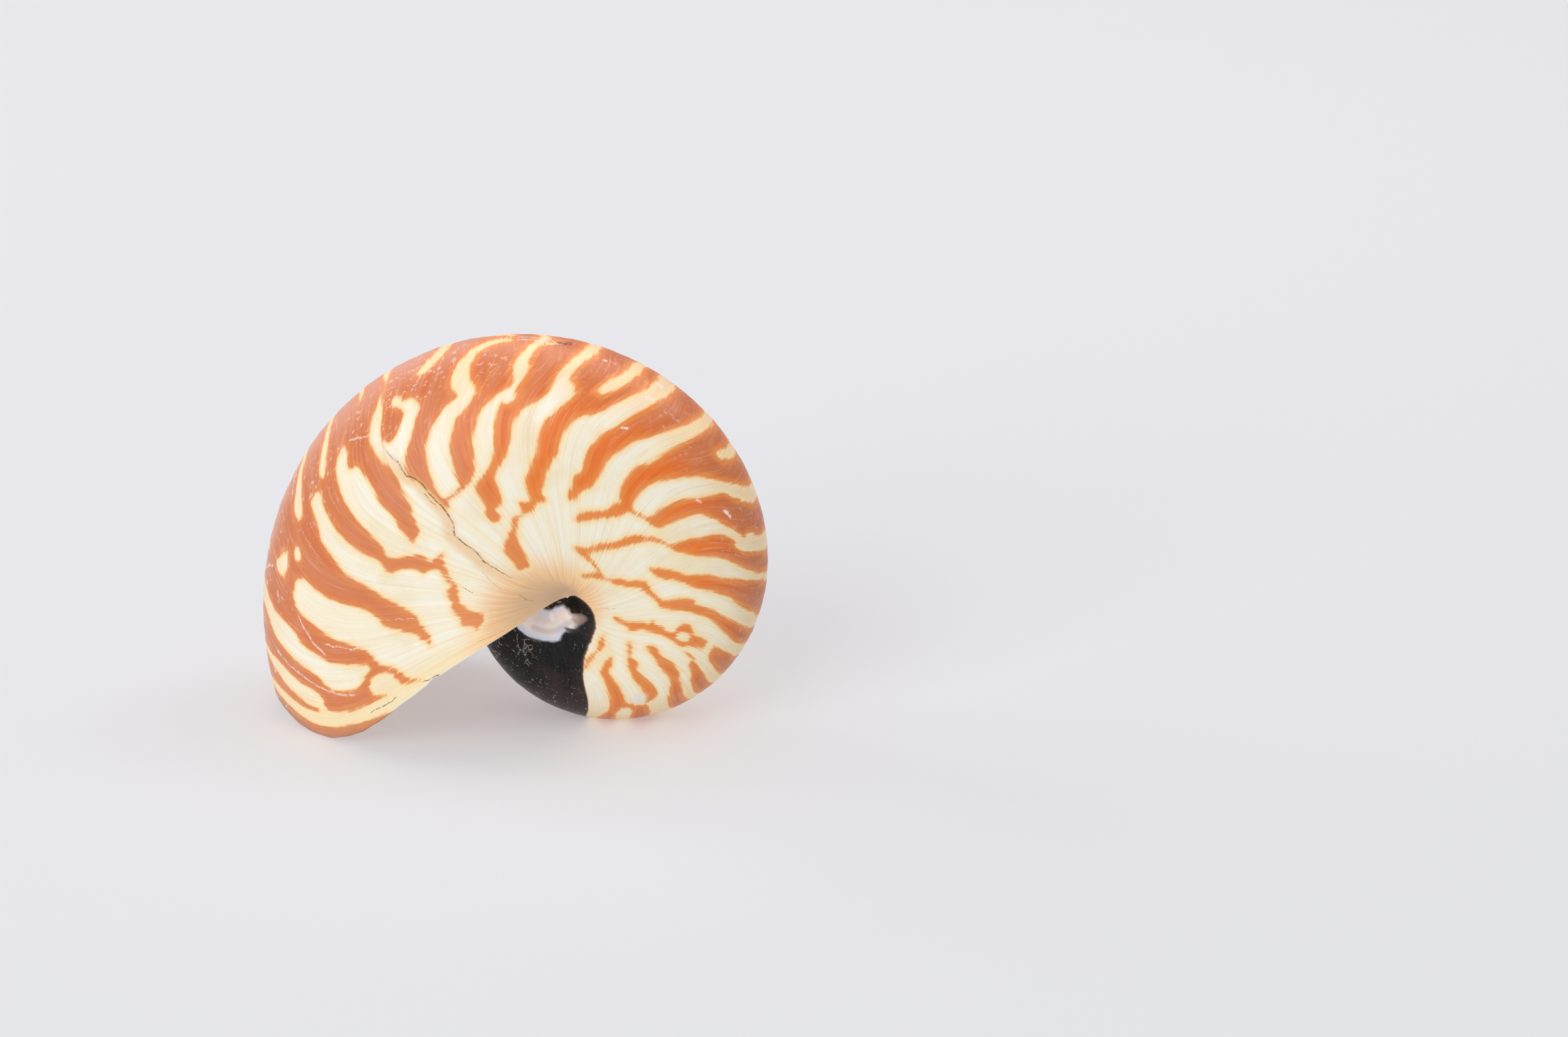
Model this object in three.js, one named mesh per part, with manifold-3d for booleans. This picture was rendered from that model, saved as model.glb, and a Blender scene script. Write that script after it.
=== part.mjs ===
// A chambered nautilus shell, standing on its mouth's lip and on the back of its coil.
// The shell is one piece: a wall that grew as a logarithmic spiral round a cross axis, each turn
// covering the one before it. The last third of a turn is the open living chamber, closed at its
// back by a dished wall with the small tube of the siphon in it.
//
// Frame, in millimetres: +Z up, Y across the shell, so that y = 0 is its plane of symmetry.
// The mouth opens downwards on the -X side. The origin is under the middle of the shell, on the
// surface that it stands on.

import * as THREE from "three";
import { LoftGeometry } from "three/addons/geometries/LoftGeometry.js";
import { mergeVertices } from "three/addons/utils/BufferGeometryUtils.js";
import Module from "manifold-3d";

// Driving dimensions
const DIAMETER = 140; // from the keel at the mouth, through the axis, to the keel half a turn back
const TURN_GROWTH = 2.96; // the keel's distance from the axis grows by this in one full turn
const MOUTH_ANGLE = 194.3; // direction of the mouth from the axis, counterclockwise from +X, degrees
const HALF_WIDTH = 0.398; // half the shell's width, as a share of the keel's distance from the axis
const FLANK_POWER = 3.16; // how squarely the flank holds its width on the way out to the keel
const NAVEL_RADIUS = 0.104; // size of the funnel round the axis, as the same share
const WALL = 1.4; // thickness of the living chamber's wall
const LIP_WALL = 1.1; // thickness at the lip, where the wall thins out
const CHAMBER_TURN = 118; // the living chamber's length round the axis, degrees
const SEPTUM_DEPTH = 21; // how far its dished back wall bulges beyond that, degrees
const DISH_SHARE = 0.6; // the dish is deepest at this share of the way from the axis to the keel
const SEPTUM_WALL = 1.5; // thickness of the dished wall
const SIPHON_RADIUS = 2; // of the hole that the siphon ran through
const REST_FLAT = 0.25; // depth of the worn spots that the shell stands on

// Sizes that follow
const REACH = DIAMETER / (1 + 1 / Math.sqrt(TURN_GROWTH)); // axis to keel at the mouth
const NAVEL_HEIGHT = 0.146 * REACH; // the plugged navel stands this far out from the middle plane

// Fineness of the faces, and turns where stretches of the coil start or end
const HALF_POINTS = 16; // steps in the outline from the axis to the keel
const PAGE_STEP = 6.6; // degrees round the axis from one outline to the next
const OLDER_END = -330; // where the older coil goes on as the last turn
const GAS_END = -312; // behind this the coil is solid

const rad = THREE.MathUtils.degToRad;
const growth = (turn) => TURN_GROWTH ** (turn / 360);
const smooth = THREE.MathUtils.smoothstep;

// How far the edge of the mouth runs ahead of the straight radius, in degrees, from the axis
// (share 0) to the keel (share 1). It bows forward on the flanks and back at the keel.
function lipLead(share) {
  const round = (2 / Math.PI) * Math.acos(share ** (FLANK_POWER / 2));
  const bow = 9.3 + 9.7 * smooth(round, 0.12, 0.66);
  return bow - 22 * Math.max(0, (round - 0.6) / 0.4) ** 4;
}

// The outline at one turn, as [distance from the axis, distance from the middle plane].
function outlinePoint(share, turn) {
  const size = REACH * growth(turn);
  const flank = HALF_WIDTH * size * Math.sqrt(1 - share ** FLANK_POWER);
  const funnel = Math.exp(-((share / NAVEL_RADIUS) ** 2));
  return new THREE.Vector2(share * size, flank - (flank - NAVEL_HEIGHT) * funnel);
}

// Shares from the axis to the keel, closer together where the full-size outline bends.
function spreadShares() {
  const fine = 600;
  const bendWeight = 26; // millimetres of outline that one radian of bend counts as
  const points = [];
  for (let i = 0; i <= fine; i++) points.push(outlinePoint(Math.sin((i / fine) * Math.PI / 2), 0));
  const effort = [0];
  for (let i = 1; i <= fine; i++) {
    const step = points[i].clone().sub(points[i - 1]);
    const before = i > 1 ? points[i - 1].clone().sub(points[i - 2]) : step;
    const bend = Math.abs(Math.atan2(before.cross(step), before.dot(step)));
    effort.push(effort[i - 1] + step.length() + bendWeight * bend);
  }
  const shares = [];
  for (let k = 0; k <= HALF_POINTS; k++) {
    const wanted = (k / HALF_POINTS) * effort[fine];
    const i = Math.max(1, effort.findIndex((e) => e >= wanted - 1e-9));
    const part = (wanted - effort[i - 1]) / (effort[i] - effort[i - 1]);
    shares.push(Math.sin(((i - 1 + part) / fine) * Math.PI / 2));
  }
  return shares;
}
const SHARES = spreadShares();

// The outline at one turn, moved inwards by a wall's thickness.
function insetPoint(k, turn, inset) {
  const point = outlinePoint(SHARES[k], turn);
  if (!inset) return point;
  const nudge = 1e-4;
  const below = outlinePoint(Math.max(0, SHARES[k] - nudge), turn);
  const above = outlinePoint(Math.min(1, SHARES[k] + nudge), turn);
  const along = above.sub(below).normalize();
  if (k === HALF_POINTS) along.set(0, -1);
  const moved = point.add(new THREE.Vector2(along.y, -along.x).multiplyScalar(inset));
  return moved.set(Math.max(0, moved.x), moved.y);
}

function place(point, side, turn) {
  const angle = rad(MOUTH_ANGLE + turn);
  return new THREE.Vector3(point.x * Math.cos(angle), side * point.y, point.x * Math.sin(angle));
}

// A closed outline: from the axis over one flank to the keel, and back over the other flank.
// turnAt gives the turn at each share, so that an outline can follow the lip.
function page(turnAt, inset = 0) {
  const ring = [];
  for (let k = 0; k <= HALF_POINTS; k++) {
    const turn = turnAt(SHARES[k]);
    ring.push(place(insetPoint(k, turn, inset), -1, turn));
  }
  for (let k = HALF_POINTS - 1; k >= 0; k--) {
    const turn = turnAt(SHARES[k]);
    ring.push(place(insetPoint(k, turn, inset), 1, turn));
  }
  return ring;
}

// Outlines from a straight radius at one turn to the lip's shape, or a step beyond the lip.
function pagesToLip(fromTurn, beyond, insetAt) {
  const count = Math.round((beyond - fromTurn) / PAGE_STEP);
  return Array.from({ length: count + 1 }, (_, i) => {
    const part = i / count;
    const turnAt = (share) => fromTurn * (1 - part) + (beyond + lipLead(share)) * part;
    return page(turnAt, insetAt(part));
  });
}

// Outlines on straight radii.
function pagesBetween(fromTurn, toTurn, step, inset = 0) {
  const count = Math.round((toTurn - fromTurn) / step);
  return Array.from({ length: count + 1 }, (_, i) => {
    const turn = fromTurn + ((toTurn - fromTurn) * i) / count;
    return page(() => turn, inset);
  });
}

const wasm = await Module();
wasm.setup();

function solid(geometry) {
  const bare = new THREE.BufferGeometry();
  bare.setAttribute("position", geometry.attributes.position);
  bare.setIndex(geometry.index);
  const merged = mergeVertices(bare, 1e-4);
  return new wasm.Manifold(
    new wasm.Mesh({
      numProp: 3,
      vertProperties: new Float32Array(merged.attributes.position.array),
      triVerts: new Uint32Array(merged.index.array),
    }),
  );
}

function loft(rings) {
  return solid(new LoftGeometry(rings, { capStart: true, capEnd: true }));
}

// Nearly a full turn, solid, out to the lip. Its last two outlines make the lip's edge.
function makeLastTurn() {
  const rings = pagesToLip(OLDER_END, 0, () => 0);
  rings.push(page(lipLead, LIP_WALL + 0.3));
  rings.push(page((share) => lipLead(share) + 2, LIP_WALL + 4));
  return loft(rings);
}

// A space that is open past the lip and closed at its back by a dished wall.
function makeDishedSpace(rimTurn, wall) {
  const dish = [0.16, 0.35, 0.55, 0.75, 0.9].map((part) => {
    const turn = rimTurn - SEPTUM_DEPTH * (1 - part ** 2);
    const centre = place(new THREE.Vector2(DISH_SHARE * REACH * growth(turn), 0), 1, turn);
    return page(() => turn, wall).map((point) => point.lerp(centre, 1 - part));
  });
  const insetAt = (part) => wall + (LIP_WALL / WALL - 1) * wall * part;
  return loft([...dish, ...pagesToLip(rimTurn, 9, insetAt)]);
}

// The gas space of the old chambers, behind the dished wall.
function makeGasSpace() {
  const dishReach = DISH_SHARE * REACH * growth(-CHAMBER_TURN - SEPTUM_DEPTH);
  const wallTurn = THREE.MathUtils.radToDeg(SEPTUM_WALL / dishReach);
  const stretch = loft(pagesBetween(GAS_END, -CHAMBER_TURN + 6, 2 * PAGE_STEP, WALL));
  return stretch.subtract(makeDishedSpace(-CHAMBER_TURN - wallTurn, WALL / 2));
}

// The siphon's hole through the middle of the dished wall.
function makeSiphonHole() {
  const turn = -CHAMBER_TURN - SEPTUM_DEPTH;
  const hole = new THREE.CylinderGeometry(SIPHON_RADIUS, SIPHON_RADIUS, 6 * SEPTUM_WALL, 16);
  hole.rotateX(Math.PI / 2);
  hole.rotateY(-rad(MOUTH_ANGLE + turn));
  const centre = place(new THREE.Vector2(DISH_SHARE * REACH * growth(turn), 0), 1, turn);
  hole.translate(centre.x, centre.y, centre.z);
  return solid(hole);
}

// The older coil, solid. It shows inside the mouth and runs on under the last turn's start,
// where its last two outlines narrow so that it stays inside.
function makeOlderCoil() {
  const rings = [
    ...pagesBetween(GAS_END - 366, -522, 2 * PAGE_STEP),
    ...pagesBetween(-516, OLDER_END, PAGE_STEP),
    page(() => OLDER_END + PAGE_STEP, 1.5),
    page(() => OLDER_END + 2 * PAGE_STEP, 4),
  ];
  return loft(rings);
}

// All of the shell, about its axis, as one body.
function makeWhole() {
  const bodies = makeLastTurn()
    .subtract(makeDishedSpace(-CHAMBER_TURN, WALL))
    .subtract(makeGasSpace())
    .subtract(makeSiphonHole())
    .add(makeOlderCoil())
    .decompose();
  return bodies.reduce((most, body) => (body.volume() > most.volume() ? body : most));
}

// The lowest corner of a solid on one side of its axis.
function lowestCorner(whole, side) {
  const corners = whole.getMesh().vertProperties;
  const lowest = new THREE.Vector3(0, 0, Infinity);
  for (let i = 0; i < corners.length; i += 3) {
    const lower = corners[i + 2] < lowest.z;
    if (lower && corners[i] * side > 0) lowest.fromArray(corners, i);
  }
  return lowest;
}

// The shell in its resting pose: turned about its axis until the lip and the back of the coil
// reach the ground together, and worn flat where they do.
function makeShell() {
  let whole = makeWhole();
  for (let pass = 0; pass < 3; pass++) {
    const lip = lowestCorner(whole, -1);
    const coil = lowestCorner(whole, 1);
    const slope = Math.atan2(coil.z - lip.z, coil.x - lip.x);
    whole = whole.rotate([0, THREE.MathUtils.radToDeg(slope), 0]);
  }
  const box = whole.boundingBox();
  const middle = (box.min[0] + box.max[0]) / 2;
  const stood = whole.translate([-middle, 0, -box.min[2] - REST_FLAT]);
  const ground = new THREE.BoxGeometry(3 * DIAMETER, 3 * DIAMETER, 20);
  ground.translate(0, 0, -10);
  return stood.subtract(solid(ground));
}

function toGeometry(manifold) {
  const mesh = manifold.getMesh();
  const geometry = new THREE.BufferGeometry();
  geometry.setAttribute("position", new THREE.BufferAttribute(mesh.vertProperties, 3));
  geometry.setIndex(new THREE.BufferAttribute(mesh.triVerts, 1));
  geometry.computeVertexNormals();
  return geometry;
}

const shellMaterial = new THREE.MeshStandardMaterial({
  color: 0xe3b184,
  roughness: 0.38,
  metalness: 0,
});
const shell = new THREE.Mesh(toGeometry(makeShell()), shellMaterial);
shell.name = "shell";

const nautilus = new THREE.Group();
nautilus.add(shell);

export default nautilus;
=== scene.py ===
"""A chambered nautilus shell with its rust stripes, standing on its lip and on the back of its coil."""

import math

import bmesh
import bpy
import numpy as np
from mathutils import Matrix, Vector


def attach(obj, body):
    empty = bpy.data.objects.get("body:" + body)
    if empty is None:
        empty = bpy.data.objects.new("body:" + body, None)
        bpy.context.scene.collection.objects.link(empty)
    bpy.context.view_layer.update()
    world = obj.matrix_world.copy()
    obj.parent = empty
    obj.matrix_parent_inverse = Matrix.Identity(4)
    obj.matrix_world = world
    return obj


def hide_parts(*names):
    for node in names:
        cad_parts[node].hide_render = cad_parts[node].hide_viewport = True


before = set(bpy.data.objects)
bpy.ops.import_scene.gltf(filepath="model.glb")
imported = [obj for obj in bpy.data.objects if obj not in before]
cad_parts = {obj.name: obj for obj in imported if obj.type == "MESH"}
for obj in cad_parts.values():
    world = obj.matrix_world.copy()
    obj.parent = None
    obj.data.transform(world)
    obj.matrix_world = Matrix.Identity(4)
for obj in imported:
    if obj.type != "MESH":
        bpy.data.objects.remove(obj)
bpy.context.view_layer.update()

# The view
# The camera stands a metre off, turned a little to the shell's left and looking down on it. It was
# fitted to the shell's outline in the photograph, about the coil's axis, before the shell was
# levelled on its lip and coil, so it gets the same small turn.
MM = 0.001
DIAMETER = 140 * MM  # from the keel at the mouth, through the axis, to the keel half a turn back
TURN_GROWTH = 2.9604  # the keel's distance from the axis grows by this in one full turn
REACH = DIAMETER / (1 + 1 / math.sqrt(TURN_GROWTH))  # axis to keel at the mouth
LEVELLING = math.radians(0.7386)  # turn about the axis that brings the lip and the coil to the ground
AXIS_PLACE = Vector((18.097, 0, 37.953)) * MM  # the coil's axis where it crosses the middle plane

IMAGE_WIDTH = 2370
IMAGE_HEIGHT = 1568
FOCAL_PIXELS = 5602.7
AXIS_PIXEL = (876.1, 876.3)  # where the photograph shows the coil's axis
VIEW_TURN = math.radians(11.397)
VIEW_LIFT = math.radians(20.096)
VIEW_DISTANCE = 10.9498 * REACH

back = Vector(
    (
        math.sin(VIEW_TURN) * math.cos(VIEW_LIFT),
        -math.cos(VIEW_TURN) * math.cos(VIEW_LIFT),
        math.sin(VIEW_LIFT),
    )
)
right = Vector((math.cos(VIEW_TURN), math.sin(VIEW_TURN), 0))
up = back.cross(right)
shift_right = (AXIS_PIXEL[0] - IMAGE_WIDTH / 2) / FOCAL_PIXELS * VIEW_DISTANCE
shift_down = (AXIS_PIXEL[1] - IMAGE_HEIGHT / 2) / FOCAL_PIXELS * VIEW_DISTANCE
eye = back * VIEW_DISTANCE - right * shift_right + up * shift_down
stand = Matrix.Translation(AXIS_PLACE) @ Matrix.Rotation(LEVELLING, 4, "Y")

camera_data = bpy.data.cameras.new("camera")
camera_data.sensor_width = 36
camera_data.lens = FOCAL_PIXELS / IMAGE_WIDTH * camera_data.sensor_width
camera = bpy.data.objects.new("camera", camera_data)
axes = Matrix((right, up, back)).transposed().to_4x4()
camera.matrix_world = stand @ Matrix.Translation(eye) @ axes
bpy.context.scene.collection.objects.link(camera)
bpy.context.scene.camera = camera

# The shell
# One wall of aragonite that the animal laid down as a logarithmic spiral, with an open living
# chamber in its last third of a turn. A point is found by its growth, in degrees from the lip and
# below 0 on the older shell, and its latitude: 0 on the keel, 1 and -1 where the navels end.
MOUTH_ANGLE = 194.298  # direction of the mouth from the axis, before levelling
HALF_WIDTH = 0.398  # half the shell's width, as a share of the keel's distance from the axis
FLANK_POWER = 3.158  # 2 would give an ellipse, and more makes the flanks flatter
NAVEL_RADIUS = 0.1043  # share of the keel's distance at which the flank turns in to the navel
NAVEL_HEIGHT = 0.1457 * REACH
LIP_LEADS = (9.87, 8.99, 13.63, 18.81, 17.06, -2.78)  # how far the lip runs ahead, keel to axis
WALL = 1.4 * MM
LIP_WALL = 1.1 * MM
CHAMBER_TURN = 118  # degrees from the lip back to the dished wall
SEPTUM_DEPTH = 21  # degrees that the dished wall's middle lies behind its rim
FULL_TURN = 360
OUTLINE_STEPS = 2001

roundness = np.linspace(0, 1, OUTLINE_STEPS)
plain_share = np.cos(roundness * math.pi / 2) ** (2 / FLANK_POWER)
plain_share[-1] = 0
plain_flank = HALF_WIDTH * np.sin(roundness * math.pi / 2)
steps = np.hypot(np.diff(plain_share), np.diff(plain_flank))
latitude_at = np.concatenate([[0], np.cumsum(steps)])
OUTLINE_LENGTH = latitude_at[-1]
latitude_at /= OUTLINE_LENGTH

lead_knots = np.linspace(0, 1, len(LIP_LEADS))
lead_powers = np.array([0, 2, 3, 4, 5, 6])
lead_terms = np.linalg.solve(lead_knots[:, None] ** lead_powers, np.array(LIP_LEADS))


def lip_lead(latitude):
    """How many degrees the growth line through the lip's keel runs ahead at a latitude."""
    around = np.interp(np.abs(latitude), latitude_at, roundness)
    return (around[..., None] ** lead_powers) @ lead_terms


def outline(latitude, size, inset):
    """Distance from the axis and from the middle plane, moved inwards by inset."""
    around = np.interp(np.abs(latitude), latitude_at, roundness)

    def bare(around):
        share = np.cos(np.clip(around, 0, 1) * math.pi / 2) ** (2 / FLANK_POWER)
        flank = HALF_WIDTH * size * np.sin(np.clip(around, 0, 1) * math.pi / 2)
        funnel = np.exp(-((share / NAVEL_RADIUS) ** 2))
        return share * size, flank - (flank - NAVEL_HEIGHT) * funnel

    nudge = 1e-3
    out, across = bare(around)
    before_out, before_across = bare(around - nudge)
    after_out, after_across = bare(around + nudge)
    along_out = np.where(around < nudge, 0, after_out - before_out)
    along_across = after_across - before_across
    length = np.hypot(along_out, along_across)
    out = out - inset * along_across / length
    across = across + inset * along_out / length
    return np.maximum(out, 0), across


def place(growth, latitude, inset=0.0):
    """Points of the shell, with near-side latitudes above 0."""
    turn = growth + lip_lead(latitude)
    size = REACH * TURN_GROWTH ** (turn / FULL_TURN)
    out, across = outline(latitude, size, inset)
    angle = np.radians(MOUTH_ANGLE + turn)
    side = -np.sign(latitude)
    return np.stack([out * np.cos(angle), side * across, out * np.sin(angle)], -1)


# The shell's mesh is a sphere's: its meridians run along pages of the spiral, out to the lip on
# the outside and back to the chamber's dished back wall on the inside.
def stretch(start, end, count):
    """Pages from start up to the last one before end."""
    return start + (end - start) * np.arange(count) / count


# The pages are 3 degrees apart deep in the mouth, then 1.25, and 0.8 from YOUNG_START to the lip.
OUTER_START = -CHAMBER_TURN - FULL_TURN
COIL_START = -330
YOUNG_START = -110
# Steps across the dished wall, closer together where the siphon's hole is
SEPTUM_STEPS = np.array(
    [0, 0.08, 0.17, 0.26, 0.34, 0.4, 0.44, 0.47, 0.5, 0.53, 0.56, 0.6, 0.68, 0.78, 0.89]
)
pages = [
    ("outside", stretch(OUTER_START, COIL_START, 50)),
    ("outside", stretch(COIL_START, YOUNG_START, 176)),
    ("outside", stretch(YOUNG_START, 0, 134)),
    ("lip", np.array([0.0, 0.5, 1.0])),
    ("inside", stretch(0, -CHAMBER_TURN, 66)[1:]),
    ("septum", SEPTUM_STEPS),
]
page_kind = np.concatenate([[kind] * len(values) for kind, values in pages])
page_value = np.concatenate([values for _, values in pages])
PAGE_COUNT = len(page_value)
MIDDLE_ROWS = 84  # rows of the mesh from the keel to where the funnel of the navel starts
FUNNEL_ROWS = 26
FUNNEL_LATITUDE = 0.86
row_latitude = np.concatenate(
    [
        np.linspace(0, FUNNEL_LATITUDE, MIDDLE_ROWS + 1)[:-1],
        np.linspace(FUNNEL_LATITUDE, 1, FUNNEL_ROWS + 1),
    ]
)
ROW_COUNT = MIDDLE_ROWS + FUNNEL_ROWS

shell_form = bmesh.new()
bmesh.ops.create_uvsphere(shell_form, u_segments=PAGE_COUNT, v_segments=2 * ROW_COUNT, radius=1)
shell_mesh = bpy.data.meshes.new("shell")
shell_form.to_mesh(shell_mesh)
shell_form.free()

ball = np.empty(len(shell_mesh.vertices) * 3)
shell_mesh.vertices.foreach_get("co", ball)
ball = ball.reshape(-1, 3)
longitude = np.arctan2(ball[:, 1], ball[:, 0]) % (2 * math.pi)
page_index = np.round(longitude / (2 * math.pi) * PAGE_COUNT).astype(int) % PAGE_COUNT
row_index = np.round(np.arcsin(np.clip(ball[:, 2], -1, 1)) / (math.pi / 2) * ROW_COUNT).astype(int)
latitude = np.sign(row_index) * row_latitude[np.abs(row_index)]
latitude[row_index == 0] = 1e-9
kind = page_kind[page_index]
value = page_value[page_index]

# The lip's own shape, in degrees: beside the navel it stands forward, it has two fine ripples, and
# there is a small chip in it.
LIP_FORWARD = 2.4
FORWARD_LATITUDE = 0.55
FORWARD_SPAN = 0.23
CHIP_DEPTH = 0.8
CHIP_LATITUDE = 0.69
CHIP_SPAN = 0.012
LIP_BULGE = 0.45  # the lip's rounded edge
LIP_REACH = 40  # the lip's shape dies out over these degrees
THINNING_REACH = 60  # the wall thins over these degrees
TAPER = 0.3  # share of the wall that is missing just inside the lip
TAPER_REACH = 4
POLE_SPAN = 0.04  # the wall closes to a point over this much latitude

lip_end = LIP_FORWARD * np.clip((np.abs(latitude) - FORWARD_LATITUDE) / FORWARD_SPAN, 0, 1) ** 1.5
lip_end += 0.06 * np.sin(latitude * 61) + 0.05 * np.sin(latitude * 113 + 1)
lip_end -= CHIP_DEPTH * np.exp(-(((latitude - CHIP_LATITUDE) / CHIP_SPAN) ** 2))
growth = np.zeros(len(ball))
outside = kind == "outside"
inside = kind == "inside"
septum = kind == "septum"
lip = kind == "lip"
near_lip = np.clip(1 + value / LIP_REACH, 0, 1) ** 2
growth[outside] = (value + lip_end * near_lip)[outside]
growth[inside] = (value + lip_end * near_lip)[inside]
growth[lip] = lip_end[lip]
growth[lip] += LIP_BULGE * np.sin(math.pi * value[lip])
thinning = np.clip(1 + value / THINNING_REACH, 0, 1)
wall = np.where(inside, WALL + (LIP_WALL - WALL) * thinning, 0)
wall[lip] = LIP_WALL * value[lip]
wall *= 1 - TAPER * np.clip(1 + value / TAPER_REACH, 0, 1) * inside
pole_fade = np.clip((1 - np.abs(latitude)) / POLE_SPAN, 0, 1)
wall *= pole_fade
points = place(growth, latitude, wall)

# The dished wall runs from the inside of the outer wall to the coil of the turn before.
wall_side = place(np.full(len(ball), -float(CHAMBER_TURN)), latitude, WALL * pole_fade)
coil_side = place(np.full(len(ball), float(OUTER_START)), latitude)
part = np.where(septum, value, 0)
bridge = wall_side + (coil_side - wall_side) * part[:, None]
dish = SEPTUM_DEPTH * 4 * part * (1 - part) * np.sqrt(np.clip(1 - np.abs(latitude), 0, 1))
turn_back = np.radians(dish)
turned = np.stack(
    [
        bridge[:, 0] * np.cos(turn_back) + bridge[:, 2] * np.sin(turn_back),
        bridge[:, 1],
        -bridge[:, 0] * np.sin(turn_back) + bridge[:, 2] * np.cos(turn_back),
    ],
    -1,
)
points[septum] = turned[septum]
growth[septum] = -CHAMBER_TURN

level = np.array(stand.to_3x3())
points = points @ level.T + np.array(AXIS_PLACE)
GROUND = 0.0
points[:, 2] = np.maximum(points[:, 2], GROUND)
shell_mesh.vertices.foreach_set("co", points.ravel())
shell_mesh.update()

shell = bpy.data.objects.new("nautilus_shell", shell_mesh)
bpy.context.scene.collection.objects.link(shell)
turned_form = bmesh.new()
turned_form.from_mesh(shell_mesh)
if turned_form.calc_volume(signed=True) < 0:
    bmesh.ops.reverse_faces(turned_form, faces=turned_form.faces)
    turned_form.to_mesh(shell_mesh)
turned_form.free()
shell_mesh.shade_smooth()

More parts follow.
